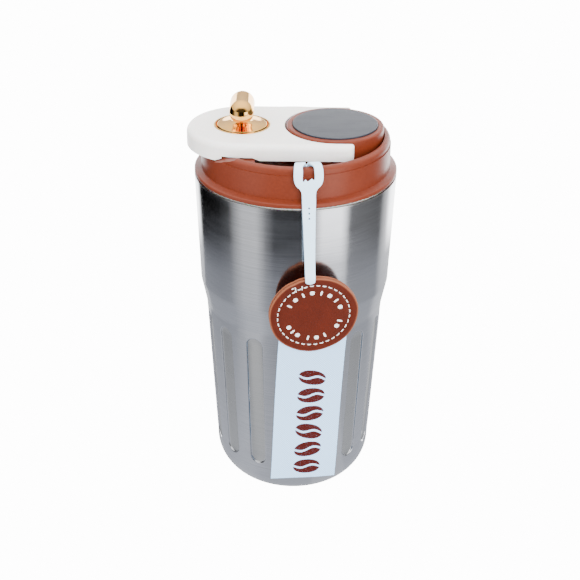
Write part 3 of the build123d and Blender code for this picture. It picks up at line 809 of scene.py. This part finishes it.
plies = (
    ("tag_disc_back", -ply / 2, ply / 2, 0.0),
    ("tag_disc_front", front_face - ply, front_face, 0.28 * mm),
)
for name, low, high, groove in plies:
    disc = leather_ply(name.replace("disc", "ply"), low, high, groove)
    disc.data.materials.append(brown_hide)
    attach(disc, "tag")
    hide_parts(name)

# ---- stitches ----------------------------------------------------------------------------------
# Waxed white thread, laid in single stitches round the tag, with three loose ends at the top left
# where the seam was finished by hand.


def thread_mesh(work, start, end, sag, radius):
    """Add one stitch: a short bowed thread whose ends dive into the leather."""
    sides, steps = 8, 8
    rings = []
    way = (end - start).normalized()
    side = way.cross(face_out).normalized()
    for step in range(steps + 1):
        share = step / steps
        lift = sag * sin(pi * share)
        middle = start.lerp(end, share) + face_out * lift
        thin = radius * min(1, 0.45 + 1.6 * sin(pi * share))
        ring = []
        for index in range(sides):
            turn = index * 2 * pi / sides + share * 2.2
            round_way = side * cos(turn) + face_out * sin(turn)
            ring.append(work.verts.new(middle + round_way * thin))
        rings.append(ring)
    for low, high in zip(rings, rings[1:]):
        for index in range(sides):
            after = (index + 1) % sides
            work.faces.new((low[index], low[after], high[after], high[index]))
    work.faces.new(rings[0][::-1])
    work.faces.new(rings[-1])


stitch_count = 36
thread_radius = 0.24 * mm
seam_depth = front_face - 0.2 * mm
work = bmesh.new()
for index in range(stitch_count):
    turn = (index + 0.5) * 2 * pi / stitch_count
    half = 0.32 * 2 * pi / stitch_count
    skew = 0.12 * mm * noise.noise(Vector((index * 1.7, 0, 0)))
    start = disc_spot(turn - half, stitch_radius + skew, seam_depth)
    end = disc_spot(turn + half, stitch_radius - skew, seam_depth)
    thread_mesh(work, start, end, 0.26 * mm, thread_radius)
loose_ends = ((122, 14.1, 119, 16.9), (121, 16.9, 125, 16.6), (112, 14.0, 109, 16.2))
for turn, reach, end_turn, end_reach in loose_ends:
    start = disc_spot(radians(turn), reach * mm, seam_depth)
    end = disc_spot(radians(end_turn), end_reach * mm, seam_depth)
    thread_mesh(work, start, end, 0.3 * mm, thread_radius)
mesh = bpy.data.meshes.new("seam_stitches")
bmesh.ops.recalc_face_normals(work, faces=work.faces)
work.to_mesh(mesh)
work.free()
stitches = new_piece("seam_stitches", mesh)
shade_smooth(stitches, 80)
waxed_thread, tree, shader = new_material("waxed_thread", (0.8, 0.79, 0.77), 0.55, Sheen_Weight=0.2)
twist_feeds = {"Vector": scaled_place(tree, (1, 1, 1)), "Scale": 1100.0, "Distortion": 1.5}
twist = add_node(tree, "TexWave", twist_feeds)
lay = blend_colours(tree, twist.outputs["Fac"], (0.66, 0.64, 0.61, 1), (0.84, 0.83, 0.81, 1))
tree.links.new(lay, shader.inputs["Base Color"])
raise_surface(tree, shader, twist.outputs["Fac"], 0.00005, 0.6)
stitches.data.materials.append(waxed_thread)
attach(stitches, "tag")
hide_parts("tag_stitches")

# ---- printed marks on the tag ------------------------------------------------------------------
# A ring of plain white ticks and dots, screen printed inside the seam. They are only an ornament.

mark_groups = [(152, 19, 8), (-17, -31, 2), (-64, -100, 3), (-124, -152, 3)]
mark_sides = 20
mark_corner = 0.8
mark_reach = 11.4 * mm
work = bmesh.new()
mark_count = 0
for first, last, count in mark_groups:
    for index in range(count):
        turn = radians(first + (last - first) * index / (count - 1))
        along, outwards = (0.95, 0.95) if mark_count % 2 else (0.42, 1.15)
        rim_ring = []
        for step in range(mark_sides):
            angle = step * 2 * pi / mark_sides
            side = copysign(along * mm * abs(cos(angle)) ** mark_corner, cos(angle))
            reach = copysign(outwards * mm * abs(sin(angle)) ** mark_corner, sin(angle))
            sideways = (face_up * cos(turn) - tag_across * sin(turn)) * side
            spot = disc_spot(turn, mark_reach + reach, front_face) + sideways
            rim_ring.append((spot, spot + face_out * 0.07 * mm))
        low = [work.verts.new(pair[0] - face_out * 0.15 * mm) for pair in rim_ring]
        high = [work.verts.new(pair[1]) for pair in rim_ring]
        for step in range(mark_sides):
            after = (step + 1) % mark_sides
            work.faces.new((low[step], low[after], high[after], high[step]))
        work.faces.new(high)
        work.faces.new(low[::-1])
        mark_count += 1
bmesh.ops.recalc_face_normals(work, faces=work.faces)
mesh = bpy.data.meshes.new("tag_marks")
work.to_mesh(mesh)
work.free()
marks = new_piece("tag_marks", mesh)
print_ink = moulding(
    "white_print",
    (0.7, 0.68, 0.66),
    (0.8, 0.79, 0.77),
    (0.85, 0.84, 0.83),
    0.5,
    0.0003,
    0.00003,
)
marks.data.materials.append(print_ink)
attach(marks, "tag")

# ---- ribbon ------------------------------------------------------------------------------------
# A waffle-woven white ribbon, sewn between the two plies. It hangs down the front, bows a little,
# and carries six printed coffee beans in a column.

ribbon_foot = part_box("tag_ribbon")[0].z
ribbon_reach = min(vertex.co.dot(tag_out) for vertex in nodes["tag_ribbon"].data.vertices)
ribbon_wide = 28.2 * mm
between = 0.75 * mm
ribbon_line = [disc_side(up * mm, between) for up in (-4.6, -9.0, -13.0, -16.5)]
bend = disc_side(-18.8 * mm, between)
foot = Vector((ribbon_reach + 0.25 * mm, ribbon_foot))
bows = ((0, 0), (0.12, -0.35), (0.3, -0.75), (0.5, -0.6), (0.7, 0.0), (0.85, 0.35), (1, 0.2))
for share, bow in bows:
    ribbon_line.append(bend.lerp(foot, share) + Vector((bow * mm, 0)))
ribbon_line = smooth_line(ribbon_line, 8)
ribbon_travel = lengths(ribbon_line)
ribbon_long = ribbon_travel[-1]
waffle = 1.05 * mm
weave_depth = 0.07 * mm
ribbon_thick = 0.42 * mm
columns, rows = 112, 304


def ribbon_spot(across, down, side):
    """A point of the ribbon, given across it and down from its top, on its front or its back."""
    share = down / ribbon_long
    drift = heart.dot(tag_across) + (0.55 - 2.9 * share) * mm
    curl = -2.6 * mm * max(0, share - 0.55) ** 1.5 * max(0, across / (ribbon_wide / 2)) ** 2
    relief = weave_depth * cos(2 * pi * across / waffle) * cos(2 * pi * down / waffle)
    place, away = walk(ribbon_line, ribbon_travel, down)
    spot = place + away * side * (ribbon_thick / 2 + relief * side)
    return tag_spot(drift + across, spot.x + curl, spot.y - 0.042 * across)


points, faces, uvs = [], [], []
for side in (1, -1):
    for row in range(rows + 1):
        down = ribbon_long * row / rows
        for column in range(columns + 1):
            across = ribbon_wide * (column / columns - 0.5)
            points.append(ribbon_spot(across, down, side))
            uvs.append((column / columns, 1 - row / rows))
sheet_size = (rows + 1) * (columns + 1)
stride = columns + 1
for row in range(rows):
    for column in range(columns):
        corner = row * stride + column
        faces.append((corner, corner + stride, corner + stride + 1, corner + 1))
        corner += sheet_size
        faces.append((corner, corner + 1, corner + stride + 1, corner + stride))
for row in range(rows):
    left = row * stride
    faces.append((left, left + sheet_size, left + stride + sheet_size, left + stride))
    right = left + columns
    faces.append((right, right + stride, right + stride + sheet_size, right + sheet_size))
for column in range(columns):
    top = column
    faces.append((top, top + 1, top + 1 + sheet_size, top + sheet_size))
    foot = rows * stride + column
    faces.append((foot, foot + sheet_size, foot + 1 + sheet_size, foot + 1))
mesh = bpy.data.meshes.new("woven_ribbon")
mesh.from_pydata(points, [], faces)
layer = mesh.uv_layers.new(name="cloth")
for loop in mesh.loops:
    layer.data[loop.index].uv = uvs[loop.vertex_index]
printed_side = mesh.attributes.new("printed_side", "FLOAT", "POINT")
for index in range(sheet_size):
    printed_side.data[index].value = 1.0
ribbon = new_piece("woven_ribbon", mesh)
shade_smooth(ribbon, 60)

cotton, cotton_shade = (0.46, 0.72, 0.99), (0.30, 0.48, 0.78)
ribbon_cloth, tree, shader = new_material("waffle_ribbon", cotton, 0.8, Specular_IOR_Level=0.15)
cloth_place = add_node(tree, "UVMap", uv_map="cloth").outputs["UV"]
cloth_feeds = {0: cloth_place, 1: (ribbon_wide / mm, ribbon_long / mm, 0)}
in_mm = add_node(tree, "VectorMath", cloth_feeds, operation="MULTIPLY").outputs[0]
cloth = add_node(tree, "SeparateXYZ", {"Vector": in_mm})
thread_rate = 2 * pi / (waffle / mm)
warp = maths(tree, "SINE", maths(tree, "MULTIPLY", cloth.outputs["X"], thread_rate * 3))
weft = maths(tree, "SINE", maths(tree, "MULTIPLY", cloth.outputs["Y"], thread_rate * 3))
threads = maths(tree, "MULTIPLY", maths(tree, "ADD", warp, weft), 0.25)
cell_x = maths(tree, "COSINE", maths(tree, "MULTIPLY", cloth.outputs["X"], thread_rate))
cell_y = maths(tree, "COSINE", maths(tree, "MULTIPLY", cloth.outputs["Y"], thread_rate))
cells = maths(tree, "MULTIPLY", cell_x, cell_y)
shade = remap(tree, cells, -0.9, 0.5)
plain = blend_colours(tree, shade, (*cotton_shade, 1), (*cotton, 1))
# the beans: an oval in each cell of a column, parted by a curved line; sizes are in millimetres
bean_pitch, bean_foot, bean_count = 9.1, 1.6, 6
bean_half_wide, bean_half_high, bean_aside = 5.9, 3.7, 1.2
above_foot = maths(tree, "SUBTRACT", cloth.outputs["Y"], bean_foot)
bean_rise = maths(tree, "DIVIDE", above_foot, bean_pitch)
bean_row = maths(tree, "FLOOR", bean_rise)
in_cell = maths(tree, "SUBTRACT", maths(tree, "FRACT", bean_rise), 0.5)
bean_y = maths(tree, "MULTIPLY", in_cell, bean_pitch)
bean_x = maths(tree, "SUBTRACT", cloth.outputs["X"], ribbon_wide / mm / 2 + bean_aside)
sway = maths(tree, "SINE", maths(tree, "MULTIPLY", bean_row, 2.3))
tilt = maths(tree, "MULTIPLY", sway, 0.16)
lean_y = maths(tree, "SUBTRACT", bean_y, maths(tree, "MULTIPLY", bean_x, tilt))
share_x = maths(tree, "ABSOLUTE", maths(tree, "DIVIDE", bean_x, bean_half_wide))
share_y = maths(tree, "ABSOLUTE", maths(tree, "DIVIDE", lean_y, bean_half_high))
oval_x = maths(tree, "POWER", share_x, 2.2)
oval_y = maths(tree, "POWER", share_y, 2.2)
oval = remap(tree, maths(tree, "ADD", oval_x, oval_y), 0.95, 1.05, 1.0, 0.0)
curve_y = maths(tree, "MULTIPLY", maths(tree, "SINE", maths(tree, "MULTIPLY", bean_x, 0.62)), 0.75)
parting = maths(tree, "ABSOLUTE", maths(tree, "SUBTRACT", lean_y, curve_y))
parted = remap(tree, parting, 0.42, 0.62)
above = maths(tree, "GREATER_THAN", bean_rise, 0.0)
below = maths(tree, "LESS_THAN", bean_rise, float(bean_count))
column_mask = maths(tree, "MULTIPLY", above, below)
bean = maths(tree, "MULTIPLY", maths(tree, "MULTIPLY", oval, parted), column_mask)
ink_wear = mottle(tree, in_mm, 2.2, 3.0)
inked = maths(tree, "MULTIPLY", bean, remap(tree, ink_wear, 0.2, 0.42, 0.8, 1.0))
on_front = add_node(tree, "Attribute", attribute_name="printed_side").outputs["Fac"]
inked = maths(tree, "MULTIPLY", inked, maths(tree, "GREATER_THAN", on_front, 0.5))
ink_colour = blend_colours(tree, shade, (0.040, 0.0028, 0.0016, 1), (0.056, 0.0044, 0.0026, 1))
tree.links.new(blend_colours(tree, inked, plain, ink_colour), shader.inputs["Base Color"])
raise_surface(tree, shader, maths(tree, "ADD", threads, cells), 0.00006, 0.6)
ribbon.data.materials.append(ribbon_cloth)
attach(ribbon, "tag")
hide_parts("tag_ribbon")

# ---- stage -------------------------------------------------------------------------------------
# A bright floor, a studio that is dark in front and bright above, and a ring of curved panels. The
# steel mirrors the panels as upright bands on its upper half, and the floor below them.


def glow(name):
    """A material that only gives out light."""
    made = bpy.data.materials.new(name)
    made.use_nodes = True
    tree = made.node_tree
    tree.nodes.remove(tree.nodes["Principled BSDF"])
    lit = add_node(tree, "Emission", {"Strength": 1.0})
    tree.links.new(lit.outputs["Emission"], tree.nodes["Material Output"].inputs["Surface"])
    return made, tree, lit


floor_mesh = bpy.data.meshes.new("floor")
span = 6.0
corners = [(-span, -span, 0), (span, -span, 0), (span, span, 0), (-span, span, 0)]
floor_mesh.from_pydata(corners, [], [(0, 1, 2, 3)])
floor = new_piece("floor", floor_mesh)

# the panels' brightness by bearing, in degrees to the right of the front: a dark doorway in front,
# a bright window to its right, and white paper behind
panel_tones = [
    (-142, 6.0),
    (-132, 0.0),
    (-92, 0.0),
    (-76, 0.08),
    (-58, 1.1),
    (-42, 1.2),
    (-31, 0.3),
    (-22, 0.02),
    (18, 0.0),
    (29, 4.2),
    (50, 4.2),
    (61, 0.25),
    (108, 0.15),
    (124, 1.6),
    (134, 7.0),
]
panel_light, entry, leave = new_group("panel_light", {}, ("Tone", "Softened", "Height", "Reach"))
place = add_node(panel_light, "TexCoord").outputs["Object"]
spot = add_node(panel_light, "SeparateXYZ", {"Vector": place})
ahead = maths(panel_light, "MULTIPLY", spot.outputs["Y"], -1.0)
turn = maths(panel_light, "ARCTAN2", spot.outputs["X"], ahead)
ramp = add_node(panel_light, "ValToRGB", {"Fac": remap(panel_light, turn, -pi, pi)})
stops = ramp.color_ramp.elements
stops.remove(stops[-1])
for index, (bearing, tone) in enumerate(panel_tones):
    stop = stops[0] if index == 0 else stops.new(0.5 + bearing / 360)
    stop.position = 0.5 + bearing / 360
    stop.color = (tone, tone, tone, 1)
tone = ramp.outputs["Color"]
reach = add_node(panel_light, "VectorMath", {0: place}, operation="LENGTH").outputs["Value"]
panel_light.links.new(tone, leave.inputs["Tone"])
panel_light.links.new(maths(panel_light, "MINIMUM", tone, 1.4), leave.inputs["Softened"])
panel_light.links.new(spot.outputs["Z"], leave.inputs["Height"])
panel_light.links.new(reach, leave.inputs["Reach"])

panel_ring = 0.235
floor_grey = (0.82, 0.85, 0.93, 1)
floor_finish, tree, lit = glow("white_floor")
seen = use_group(tree, panel_light).outputs
near_panels = remap(tree, seen["Reach"], 0.05, panel_ring, 0.1, 0.55)
for_steel = blend_colours(tree, near_panels, floor_grey, seen["Softened"])
kind_of_ray = add_node(tree, "LightPath")
lit_floor = blend_colours(tree, kind_of_ray.outputs["Is Glossy Ray"], (2.0, 2.0, 2.0, 1), for_steel)
shown = blend_colours(tree, kind_of_ray.outputs["Is Camera Ray"], lit_floor, (14, 14, 14, 1))
tree.links.new(shown, lit.inputs["Color"])
floor.data.materials.append(floor_finish)

panel_steps = 96
points, faces = [], []
for step in range(panel_steps):
    turn = step * 2 * pi / panel_steps
    after = (step + 1) % panel_steps
    for height in (0.001, 0.22):
        points.append((panel_ring * sin(turn), -panel_ring * cos(turn), height))
    faces.append((2 * step, 2 * step + 1, 2 * after + 1, 2 * after))
mesh = bpy.data.meshes.new("panels")
mesh.from_pydata(points, [], faces)
panels = new_piece("panels", mesh)
panel_finish, tree, lit = glow("panel_tones")
seen = use_group(tree, panel_light).outputs
above_floor = remap(tree, seen["Height"], 0.0, 0.02, 0.55, 1.0)
low_blend = blend_colours(tree, above_floor, floor_grey, seen["Softened"])
settled = blend_colours(tree, remap(tree, seen["Height"], 0.006, 0.026), low_blend, seen["Tone"])
tree.links.new(settled, lit.inputs["Color"])
mesh.materials.append(panel_finish)
panels.visible_camera = False
panels.visible_diffuse = False
panels.visible_shadow = False
panels.visible_transmission = False

world = bpy.data.worlds.new("studio")
bpy.context.scene.world = world
world.use_nodes = True
tree = world.node_tree
background = tree.nodes["Background"]
background.inputs["Color"].default_value = (1, 1, 1, 1)
way = add_node(tree, "SeparateXYZ", {"Vector": add_node(tree, "TexCoord").outputs["Generated"]})
raised = remap(tree, way.outputs["Z"], 0.1, 0.9, 0.7, 2.6)
toward = remap(tree, way.outputs["Y"], -0.35, -0.7)
low_down = remap(tree, way.outputs["Z"], 0.9, 0.7)
darkened = maths(tree, "MULTIPLY", maths(tree, "MULTIPLY", toward, low_down), 0.95)
mirrored = maths(tree, "MULTIPLY", raised, maths(tree, "SUBTRACT", 1.0, darkened))
diffuse = add_node(tree, "LightPath").outputs["Is Diffuse Ray"]
share = maths(tree, "MULTIPLY", diffuse, 3.0)
rest_share = maths(tree, "MULTIPLY", maths(tree, "SUBTRACT", 1.0, diffuse), mirrored)
tree.links.new(maths(tree, "ADD", share, rest_share), background.inputs["Strength"])


def softbox(name, place, aim, size, power):
    """A soft square light that points at a spot and isn't mirrored in the metal."""
    lamp = bpy.data.lights.new(name, "AREA")
    lamp.shape = "SQUARE"
    lamp.size = size
    lamp.energy = power
    holder = bpy.data.objects.new(name, lamp)
    holder.location = place
    holder.rotation_euler = (Vector(aim) - Vector(place)).to_track_quat("-Z", "Y").to_euler()
    holder.visible_glossy = False
    bpy.context.scene.collection.objects.link(holder)


softbox("top_softbox", (-0.1, 0.1, 1.1), (0, 0, 0.1), 0.9, 13)
softbox("front_softbox", (0.35, -1.1, 0.55), (0, 0, 0.08), 0.7, 24)

# ---- camera ------------------------------------------------------------------------------------
# A long lens, in front of the mug and well above it, looks down at the middle of the body. It is
# turned a little about its own line of sight.

camera_data = bpy.data.cameras.new("camera")
camera_data.sensor_width = 36
camera_data.lens = 87.58
camera_data.shift_x = -0.0072
camera = bpy.data.objects.new("camera", camera_data)
target = Vector((0, 0, 89.8 * mm))
camera.location = Vector((0, -551.2 * mm, 375.5 * mm))
aim = (target - camera.location).to_track_quat("-Z", "Y")
camera.rotation_euler = (aim @ Quaternion((0, 0, 1), radians(0.68))).to_euler()
bpy.context.scene.collection.objects.link(camera)
bpy.context.scene.camera = camera

low, high = cad_bounds
